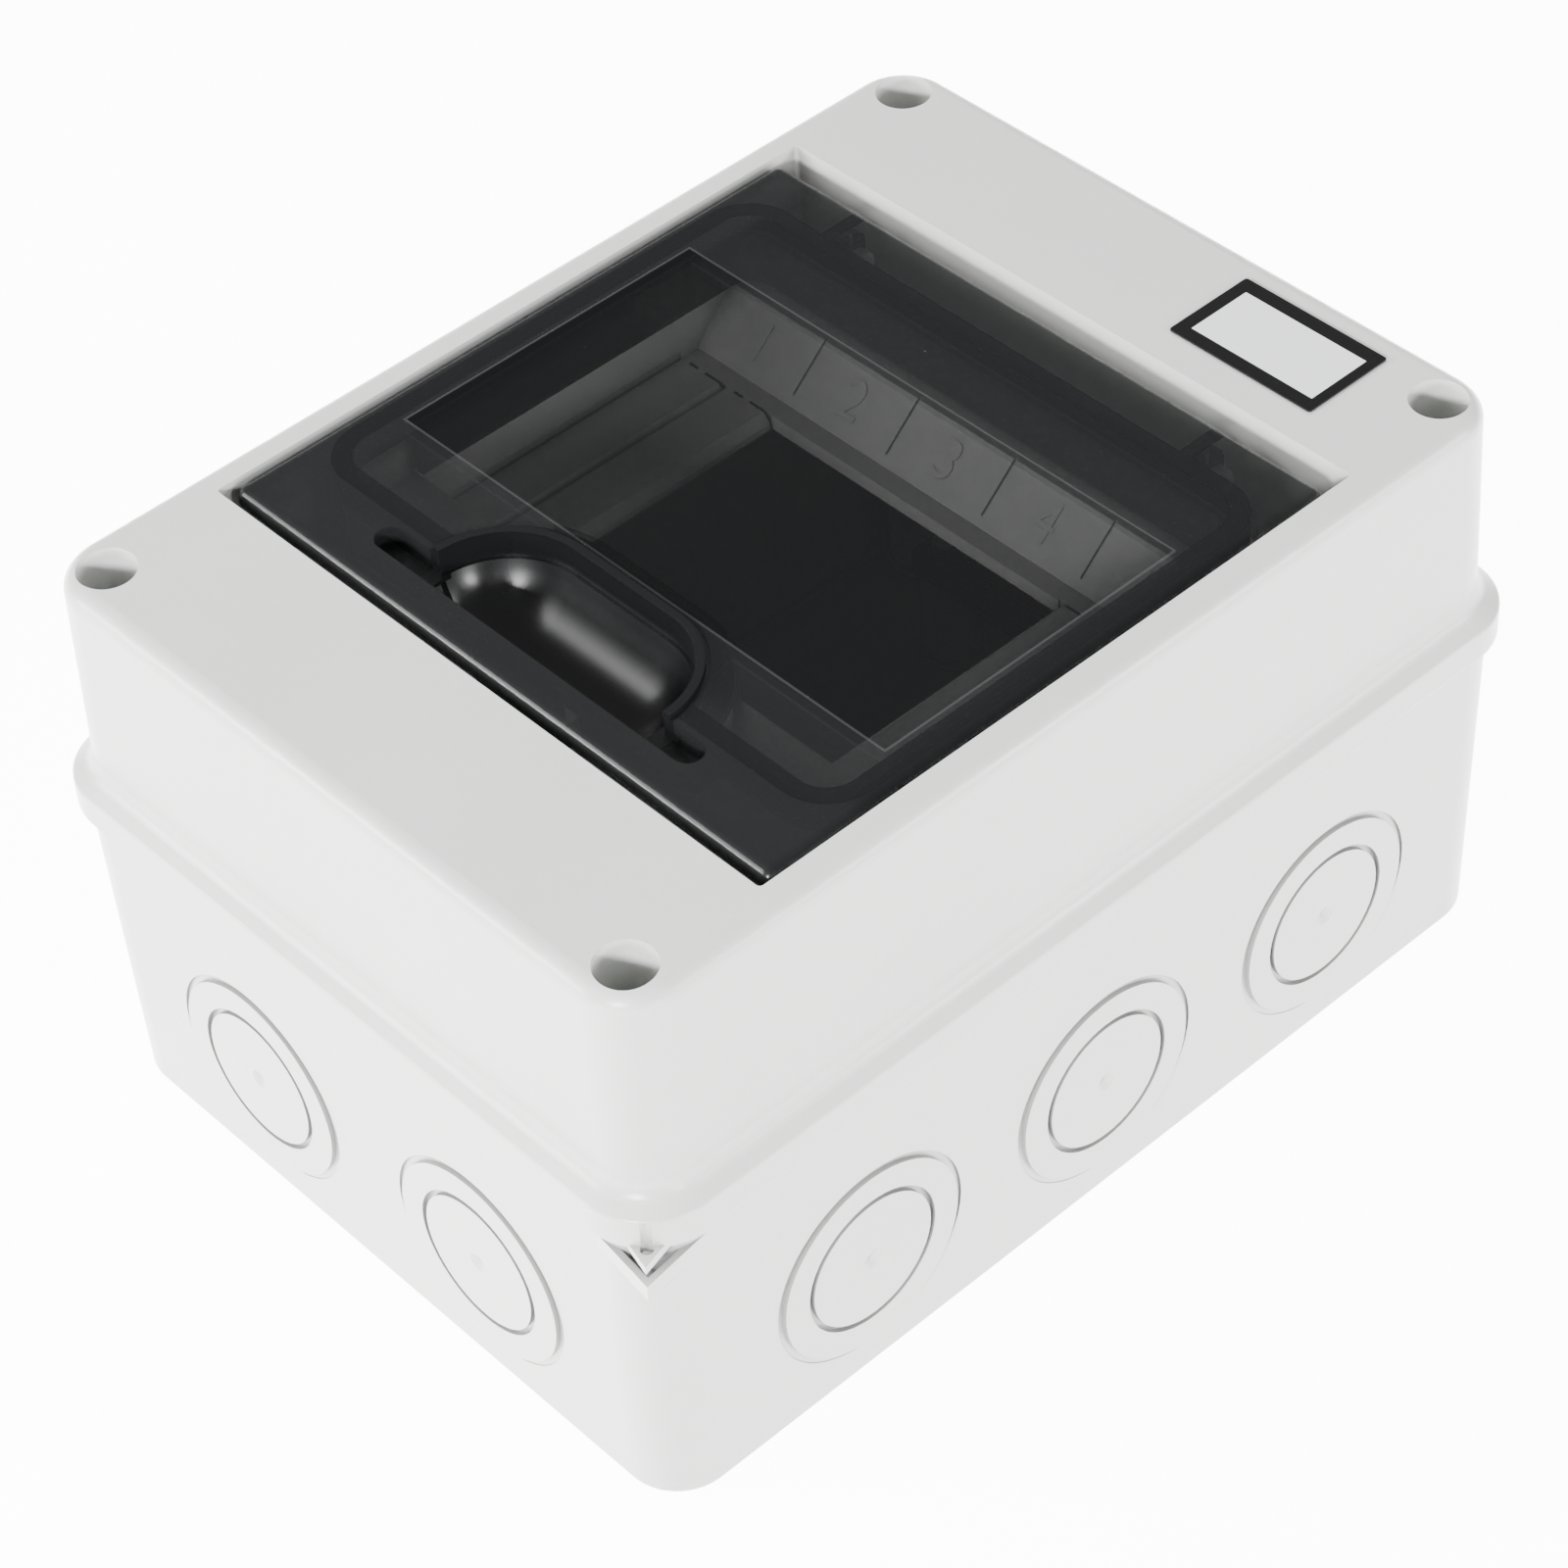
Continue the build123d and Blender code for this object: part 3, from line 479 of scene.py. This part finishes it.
@dataclass(frozen=True)
class SealRubber:
    """Soft black elastomer."""

    name: str = "seal_rubber"
    colour: Colour = (0.012, 0.012, 0.012)

    def material(self) -> bpy.types.Material:
        """Dull black with a fine skin."""
        bench = Bench(self.name)
        skin = bench.noise(0.5 * MM, 2.0, 0.6)
        colour = bench.blend(bench.noise(6 * MM), self.colour, tuple(c * 1.7 for c in self.colour))
        return bench.finish(Base_Color=colour, Roughness=0.62 + skin * 0.15,
                            Normal=bench.relief(skin, 0.03 * MM, 0.5))


@dataclass(frozen=True)
class Metal:
    """Plated or drawn metal with fine marks along X."""

    name: str
    colour: Colour
    shade: Colour
    roughness: float
    mark: float = 0.25 * MM
    mark_depth: float = 0.008 * MM
    stretch: Point = (0.06, 1.0, 1.0)

    def material(self) -> bpy.types.Material:
        """Colour that drifts a little, with streaks that are long along X."""
        bench = Bench(self.name)
        stretched = bench.add("ShaderNodeMapping", {},
                              {"Vector": bench.place(), "Scale": self.stretch}, "Vector")
        streak = bench.add("ShaderNodeTexNoise", {},
                           {"Vector": stretched, "Scale": 1.0 / self.mark, "Detail": 2.0})
        colour = bench.blend(bench.noise(5 * MM, 3.0).ramp(0.35, 0.7), self.colour, self.shade)
        rough = self.roughness + (streak - 0.5) * 0.22
        return bench.finish(Base_Color=colour, Metallic=1.0, Roughness=rough,
                            Normal=bench.relief(streak, self.mark_depth, 0.5))


@dataclass(frozen=True)
class CarrierPlastic:
    """Coloured polyamide of a terminal carrier."""

    name: str
    colour: Colour

    def material(self) -> bpy.types.Material:
        """Slightly mottled, satin."""
        bench = Bench(self.name)
        grain = bench.noise(0.4 * MM, 2.0, 0.6)
        colour = bench.blend(bench.noise(7 * MM), self.colour, tuple(c * 0.8 for c in self.colour))
        return bench.finish(Base_Color=colour, Roughness=0.38 + (grain - 0.5) * 0.1,
                            Normal=bench.relief(grain, 0.01 * MM, 0.5))


@dataclass(frozen=True)
class LabelFilm:
    """Silver-white film with a printed black frame and nothing inside it."""

    name: str = "label_film"
    paper: Colour = (0.80, 0.81, 0.82)
    ink: Colour = (0.003, 0.003, 0.0035)
    middle: Flat = (26.95 * MM, 63.4 * MM)
    clear_half: Flat = (10.5 * MM, 5.2 * MM)

    def material(self) -> bpy.types.Material:
        """The frame is what lies outside the clear field."""
        bench = Bench(self.name)
        x, y, _ = bench.axes()
        ink = rectangle(x, y, self.middle, self.clear_half).ramp(-0.04 * MM, 0.04 * MM)
        paper = bench.blend(bench.noise(6 * MM), self.paper, tuple(c * 0.95 for c in self.paper))
        return bench.finish(Base_Color=bench.blend(ink, paper, self.ink),
                            Roughness=0.34 + ink * 0.12,
                            Normal=bench.relief(bench.noise(2.5 * MM), 0.01 * MM, 0.4))


@dataclass(frozen=True)
class PaleFloor:
    """White floor that the box lies on. It glows, and less where smoked plastic is in front."""

    name: str = "pale_floor"
    colour: Colour = (0.9, 0.9, 0.9)
    glow: float = 11.0
    dimmed: float = 0.27

    def material(self) -> bpy.types.Material:
        """Matte white with a hint of unevenness, and its glow."""
        bench = Bench(self.name)
        colour = bench.blend(bench.noise(0.2), self.colour, tuple(c * 0.99 for c in self.colour))
        passed = bench.add("ShaderNodeLightPath", {}, {}, "Transparent Depth").least(1.0)
        glow = bench.blend(passed, (1.0, 1.0, 1.0), (self.dimmed, self.dimmed, self.dimmed))
        return bench.finish(Base_Color=colour, Roughness=0.8, Emission_Color=glow,
                            Emission_Strength=self.glow)


def clear_selection() -> None:
    """Leaves edit mode and deselects every object."""
    if bpy.context.mode != "OBJECT":
        bpy.ops.object.mode_set(mode="OBJECT")
    bpy.ops.object.select_all(action="DESELECT")


def take(obj: bpy.types.Object) -> None:
    """Makes one object the only selected and active one.

    Args:
        obj: The object.
    """
    clear_selection()
    obj.select_set(True)
    bpy.context.view_layer.objects.active = obj


def named(name: str) -> bpy.types.Object:
    """Names the object that an operator has just added.

    Args:
        name: Its new name.

    Returns:
        The object.
    """
    obj = bpy.context.view_layer.objects.active
    obj.name = name
    obj.data.name = name
    return obj


def pick(obj: bpy.types.Object, wanted: Callable[[bmesh.types.BMFace], bool]) -> None:
    """Selects faces in edit mode.

    Args:
        obj: The object in edit mode.
        wanted: Says whether a face is selected.
    """
    mesh = bmesh.from_edit_mesh(obj.data)
    for face in mesh.faces:
        face.select_set(False)
    for face in mesh.faces:
        if wanted(face):
            face.select_set(True)
    mesh.select_flush_mode()
    bmesh.update_edit_mesh(obj.data)


def facing(direction: Direction) -> Callable[[bmesh.types.BMFace], bool]:
    """Test for faces that look one way.

    Args:
        direction: The way.

    Returns:
        The test.
    """
    return lambda face: face.normal.dot(Vector(direction.value)) > 0.95


def edit(obj: bpy.types.Object) -> None:
    """Enters edit mode on one object, in face mode."""
    take(obj)
    bpy.ops.object.mode_set(mode="EDIT")
    bpy.ops.mesh.select_mode(type="FACE")


def settle(obj: bpy.types.Object, smooth: float = 35.0) -> bpy.types.Object:
    """Applies the object's place and modifiers, and smooths it by angle.

    Args:
        obj: The object.
        smooth: Largest angle that is smoothed, in degrees.

    Returns:
        The same object.
    """
    take(obj)
    for modifier in list(obj.modifiers):
        bpy.ops.object.modifier_apply(modifier=modifier.name)
    bpy.ops.object.transform_apply(location=True, rotation=True, scale=True)
    bpy.ops.object.shade_smooth_by_angle(angle=math.radians(smooth))
    return obj


def join(pieces: list[bpy.types.Object]) -> bpy.types.Object:
    """Joins pieces into the first of them.

    Args:
        pieces: The pieces.

    Returns:
        The joined object.
    """
    clear_selection()
    for piece in pieces:
        piece.select_set(True)
    bpy.context.view_layer.objects.active = pieces[0]
    bpy.ops.object.join()
    return pieces[0]


def copy_to(obj: bpy.types.Object, name: str, shift: Point) -> bpy.types.Object:
    """Copies an object with its own mesh, and moves the copy's mesh.

    Args:
        obj: The original.
        name: The copy's name.
        shift: How far the copy's mesh moves.

    Returns:
        The copy.
    """
    twin = obj.copy()
    twin.data = obj.data.copy()
    twin.name = name
    twin.data.name = name
    bpy.context.scene.collection.objects.link(twin)
    twin.data.transform(Matrix.Translation(shift))
    return twin


def dress(obj: bpy.types.Object, material: bpy.types.Material) -> bpy.types.Object:
    """Gives a piece one material.

    Args:
        obj: The piece.
        material: Its material.

    Returns:
        The piece.
    """
    obj.data.materials.clear()
    obj.data.materials.append(material)
    return obj


@dataclass
class Finishes:
    """Every material of the box, made once."""

    grey: bpy.types.Material
    smoked: bpy.types.Material
    rubber: bpy.types.Material
    steel: bpy.types.Material
    brass: bpy.types.Material
    blue: bpy.types.Material
    green: bpy.types.Material
    film: bpy.types.Material

    @classmethod
    def mixed(cls) -> "Finishes":
        """Makes the materials."""
        return cls(
            grey=GreyMoulding().material(),
            smoked=SmokedDoor().material(),
            rubber=SealRubber().material(),
            steel=Metal("plated_steel", (0.62, 0.63, 0.64), (0.5, 0.51, 0.53), 0.32).material(),
            brass=Metal("drawn_brass", (0.78, 0.57, 0.25), (0.68, 0.48, 0.2), 0.3).material(),
            blue=CarrierPlastic("blue_polyamide", (0.03, 0.12, 0.42)).material(),
            green=CarrierPlastic("green_polyamide", (0.03, 0.25, 0.07)).material(),
            film=LabelFilm().material(),
        )


@dataclass
class Frame:
    """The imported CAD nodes, each with its finish."""

    nodes: dict[str, bpy.types.Object]

    def dress(self, finishes: Finishes) -> None:
        """Gives each node its material.

        Args:
            finishes: The box's materials.
        """
        plan = {
            "base_box": finishes.grey, "cover": finishes.grey,
            "door": finishes.smoked, "latch_hook": finishes.smoked,
            "door_gasket": finishes.rubber, "cover_gasket": finishes.rubber,
            "screw_seals": finishes.rubber, "pillar_inserts": finishes.brass,
            "neutral_bar": finishes.brass, "earth_bar": finishes.brass,
            "neutral_carrier": finishes.blue, "earth_carrier": finishes.green,
            "label_plate": finishes.film,
        }
        for name, node in self.nodes.items():
            dress(node, plan.get(name, finishes.steel))
            LOG.info("dressed %s", name)


@dataclass
class CoverScrews:
    """The four cover screws, with a cross recess and a thread."""

    x: float = 49.0 * MM
    y: float = 69.43 * MM
    seat: float = 61.3 * MM
    head_radius: float = 3.4 * MM
    head_height: float = 2.6 * MM
    shank_radius: float = 1.62 * MM
    thread_radius: float = 1.93 * MM
    tip: float = 42.0 * MM
    pitch: float = 0.8 * MM
    thread_top: float = 54.0 * MM
    recess_width: float = 0.85 * MM
    recess_reach: float = 2.1 * MM
    recess_depth: float = 1.5 * MM
    recess_taper: Point = (0.45, 0.7, 1.0)
    crown: float = 0.55 * MM
    point: float = 0.5 * MM
    thread_start: float = 0.9 * MM
    thread_root: float = 0.05 * MM
    thread_steps: int = 24

    def head(self) -> bpy.types.Object:
        """Pan head and shank, extruded from one disc and with a rounded top."""
        clear_selection()
        bpy.ops.mesh.primitive_cylinder_add(vertices=40, radius=self.head_radius,
                                            depth=self.head_height,
                                            location=(0, 0, self.seat + self.head_height / 2))
        obj = named("screw_blank")
        edit(obj)
        pick(obj, facing(Direction.UP))
        bpy.ops.mesh.bevel(offset=self.crown, segments=4, affect="EDGES")
        pick(obj, facing(Direction.DOWN))
        bpy.ops.mesh.inset(thickness=self.head_radius - self.shank_radius)
        shank = (0, 0, self.tip - self.seat)
        bpy.ops.mesh.extrude_region_move(TRANSFORM_OT_translate={"value": shank})
        bpy.ops.mesh.bevel(offset=self.point, segments=2, affect="EDGES")
        bpy.ops.object.mode_set(mode="OBJECT")
        return obj

    def recess(self) -> bpy.types.Object:
        """Tapered cross that is cut into the head."""
        clear_selection()
        bars = []
        for turn in range(2):
            bpy.ops.mesh.primitive_cube_add(size=1, location=(0, 0, 0))
            bar = named(f"recess_bar_{turn}")
            edit(bar)
            bpy.ops.mesh.select_all(action="SELECT")
            bpy.ops.transform.resize(value=(2 * self.recess_reach, self.recess_width,
                                            2 * self.recess_depth))
            pick(bar, facing(Direction.DOWN))
            bpy.ops.transform.resize(value=self.recess_taper)
            bpy.ops.object.mode_set(mode="OBJECT")
            turned = Matrix.Rotation(turn * math.pi / 2 + math.pi / 4, 4, "Z")
            top = Matrix.Translation((0, 0, self.seat + self.head_height))
            bar.data.transform(top @ turned)
            bars.append(bar)
        union = bars[0].modifiers.new("both_bars", "BOOLEAN")
        union.operation = "UNION"
        union.object = bars[1]
        take(bars[0])
        bpy.ops.object.modifier_apply(modifier=union.name)
        bpy.data.objects.remove(bars[1])
        return bars[0]

    def thread(self) -> bpy.types.Object:
        """Ridge that winds up the shank."""
        clear_selection()
        depth = self.thread_radius - self.shank_radius
        bpy.ops.mesh.primitive_circle_add(vertices=3, radius=depth + 2 * self.thread_root,
                                          fill_type="NOTHING", location=(0, 0, 0))
        ridge = named("screw_thread")
        upright = Matrix.Rotation(math.pi / 2, 4, "X") @ Matrix.Rotation(-math.pi / 2, 4, "Z")
        low = self.tip + self.thread_start
        beside = Matrix.Translation((self.shank_radius - self.thread_root, 0, low))
        ridge.data.transform(beside @ upright)
        winding = ridge.modifiers.new("winding", "SCREW")
        winding.screw_offset = self.pitch
        winding.iterations = int((self.thread_top - low) / self.pitch)
        winding.steps = winding.render_steps = self.thread_steps
        winding.use_merge_vertices = False
        settle(ridge, 20)
        edit(ridge)
        bpy.ops.mesh.select_mode(type="EDGE")
        bpy.ops.mesh.select_all(action="DESELECT")
        bpy.ops.mesh.select_non_manifold(extend=False, use_boundary=True, use_wire=False,
                                         use_multi_face=False, use_non_contiguous=False,
                                         use_verts=False)
        bpy.ops.mesh.edge_face_add()
        bpy.ops.mesh.select_all(action="SELECT")
        bpy.ops.mesh.normals_make_consistent(inside=False)
        bpy.ops.object.mode_set(mode="OBJECT")
        return ridge

    def build(self, finishes: Finishes) -> list[bpy.types.Object]:
        """Models one screw and copies it into the four wells.

        Args:
            finishes: The box's materials.

        Returns:
            The four screws.
        """
        blank = self.head()
        cutter = self.recess()
        cut = blank.modifiers.new("recess", "BOOLEAN")
        cut.operation = "DIFFERENCE"
        cut.object = cutter
        settle(blank, 40)
        bpy.data.objects.remove(cutter)
        screw = join([blank, self.thread()])
        dress(screw, finishes.steel)
        screws = []
        for number, (sx, sy) in enumerate([(-1, -1), (-1, 1), (1, -1), (1, 1)], start=1):
            piece = copy_to(screw, f"cross_screw_{number}", (sx * self.x, sy * self.y, 0))
            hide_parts(f"cover_screw_{number}")
            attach(piece, f"screw_{number}")
            screws.append(piece)
        bpy.data.objects.remove(screw)
        return screws


@dataclass
class WayNumbers:
    """Raised numbers of the ways, on the far slope of the hopper."""

    ways: int = 5
    module: float = 18.0 * MM
    low: Flat = (25.5 * MM, 71.3 * MM)
    high: Flat = (33.0 * MM, 78.0 * MM)
    digit: float = 6.0 * MM
    font_scale: float = 1.35
    raised: float = 0.12 * MM

    def build(self, finishes: Finishes) -> bpy.types.Object:
        """Sets one number in each cell, flat on the slope.

        Args:
            finishes: The box's materials.

        Returns:
            The joined numbers.
        """
        slope = math.atan2(self.high[1] - self.low[1], self.high[0] - self.low[0])
        middle = ((self.low[0] + self.high[0]) / 2, (self.low[1] + self.high[1]) / 2)
        numbers = []
        for way in range(self.ways):
            clear_selection()
            bpy.ops.object.text_add(location=(0, 0, 0))
            text = bpy.context.view_layer.objects.active
            text.data.body = str(way + 1)
            text.data.size = self.digit * self.font_scale
            text.data.align_x = "CENTER"
            text.data.align_y = "CENTER"
            text.data.extrude = self.raised
            text.data.resolution_u = 4
            take(text)
            bpy.ops.object.convert(target="MESH")
            piece = named(f"way_number_{way + 1}")
            x = (way - (self.ways - 1) / 2) * self.module
            place = Matrix.Translation((x, *middle))
            piece.data.transform(place @ Matrix.Rotation(slope, 4, "X"))
            numbers.append(piece)
        joined = join(numbers)
        joined.name = "way_numbers"
        dress(joined, finishes.grey)
        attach(joined, "cover")
        return joined


@dataclass
class SlotShelf:
    """Dark web assumed under the ends of the door's latch slot, beside the scoop."""

    near: float = -43.5 * MM
    far: float = -37.8 * MM
    inner: float = 20.0 * MM
    outer: float = 31.0 * MM
    low: float = 85.0 * MM
    high: float = 85.6 * MM

    def build(self, finishes: Finishes) -> bpy.types.Object:
        """Lays the two plates of the web.

        Args:
            finishes: The box's materials.

        Returns:
            The joined plates.
        """
        plates = []
        for side in (-1, 1):
            clear_selection()
            middle = (side * (self.inner + self.outer) / 2, (self.near + self.far) / 2,
                      (self.low + self.high) / 2)
            bpy.ops.mesh.primitive_cube_add(size=1.0, location=middle)
            plate = named(f"slot_shelf_{'left' if side < 0 else 'right'}")
            plate.scale = (self.outer - self.inner, self.far - self.near, self.high - self.low)
            plates.append(settle(plate))
        joined = join(plates)
        joined.name = "slot_shelf"
        dress(joined, finishes.smoked)
        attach(joined, "door")
        return joined


@dataclass
class Studio:
    """Camera at the photograph's place, pale floor and soft lights."""

    eye: Point = (333.03 * MM, -284.53 * MM, 458.29 * MM)
    yaw: float = 49.753
    pitch: float = 43.932
    roll: float = -3.993
    lens: float = 103.966
    floor: float = 60.0
    surround: float = 0.3
    aim: Point = (0.0, 0.0, 60.0 * MM)

    def camera(self) -> bpy.types.Object:
        """Adds the camera and makes it the scene's own."""
        yaw, pitch, roll = (math.radians(a) for a in (self.yaw, self.pitch, self.roll))
        ahead = Vector((-math.sin(yaw) * math.cos(pitch), math.cos(yaw) * math.cos(pitch),
                        -math.sin(pitch)))
        right = ahead.cross(Vector((0, 0, 1))).normalized()
        up = right.cross(ahead)
        across = right * math.cos(roll) + up * math.sin(roll)
        upward = up * math.cos(roll) - right * math.sin(roll)
        data = bpy.data.cameras.new("photo_camera")
        data.sensor_width = 36.0
        data.lens = self.lens
        data.clip_start = 0.01
        camera = bpy.data.objects.new("photo_camera", data)
        turn = Matrix((across, upward, -ahead)).transposed().to_4x4()
        camera.matrix_world = Matrix.Translation(self.eye) @ turn
        bpy.context.scene.collection.objects.link(camera)
        bpy.context.scene.camera = camera
        return camera

    def ground(self) -> bpy.types.Object:
        """Adds the floor under the box."""
        clear_selection()
        bpy.ops.mesh.primitive_plane_add(size=self.floor, location=(0, 0, 0))
        floor = settle(named("floor"))
        floor.visible_diffuse = False
        dress(floor, PaleFloor().material())
        return floor

    def lamp(self, name: str, azimuth: float, height: float, away: float, size: float,
             power: float) -> bpy.types.Object:
        """Adds one round soft lamp that looks at the box.

        Args:
            name: Its name.
            azimuth: Its direction from the box, in degrees from +X towards +Y.
            height: Its height over the horizon, in degrees.
            away: Its distance.
            size: Its diameter.
            power: Its power, in watts.

        Returns:
            The lamp.
        """
        data = bpy.data.lights.new(name, "AREA")
        data.shape = "DISK"
        data.size = size
        data.energy = power
        lamp = bpy.data.objects.new(name, data)
        side, up = math.radians(azimuth), math.radians(height)
        way = Vector((math.cos(side) * math.cos(up), math.sin(side) * math.cos(up),
                      math.sin(up)))
        turn = way.to_track_quat("Z", "Y").to_matrix().to_4x4()
        lamp.matrix_world = Matrix.Translation(way * away + Vector(self.aim)) @ turn
        bpy.context.scene.collection.objects.link(lamp)
        return lamp

    def lights(self) -> None:
        """Adds the lamps and the pale surround. The far one stays out of reflections."""
        world = bpy.data.worlds.new("pale_surround")
        world.use_nodes = True
        background = world.node_tree.nodes["Background"]
        background.inputs["Color"].default_value = (1.0, 1.0, 1.0, 1.0)
        background.inputs["Strength"].default_value = self.surround
        bpy.context.scene.world = world
        self.lamp("low_left", -125.0, 13.0, 1.0, 0.30, 14.0)
        self.lamp("low_right", 31.0, 15.0, 1.0, 0.25, 9.0)
        self.lamp("key", -62.0, 23.0, 0.8, 0.13, 14.0)
        self.lamp("spark", -6.0, 9.5, 0.8, 0.09, 4.0)
        self.lamp("soft_left", -124.0, 26.0, 1.4, 0.9, 14.0)
        far_side = self.lamp("far_side", 139.0, 25.0, 2.0, 1.0, 70.0)
        far_side.visible_glossy = False


def main() -> None:
    """Builds the scene."""
    logging.basicConfig(level=logging.INFO, format="%(name)s: %(message)s")
    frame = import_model()
    studio = Studio()
    studio.camera()
    studio.ground()
    studio.lights()
    finishes = Finishes.mixed()
    Frame(frame["nodes"]).dress(finishes)
    for screw in CoverScrews().build(finishes):
        LOG.info("built %s", screw.name)
    LOG.info("built %s", WayNumbers().build(finishes).name)
    LOG.info("built %s", SlotShelf().build(finishes).name)


if __name__ == "__main__":
    main()
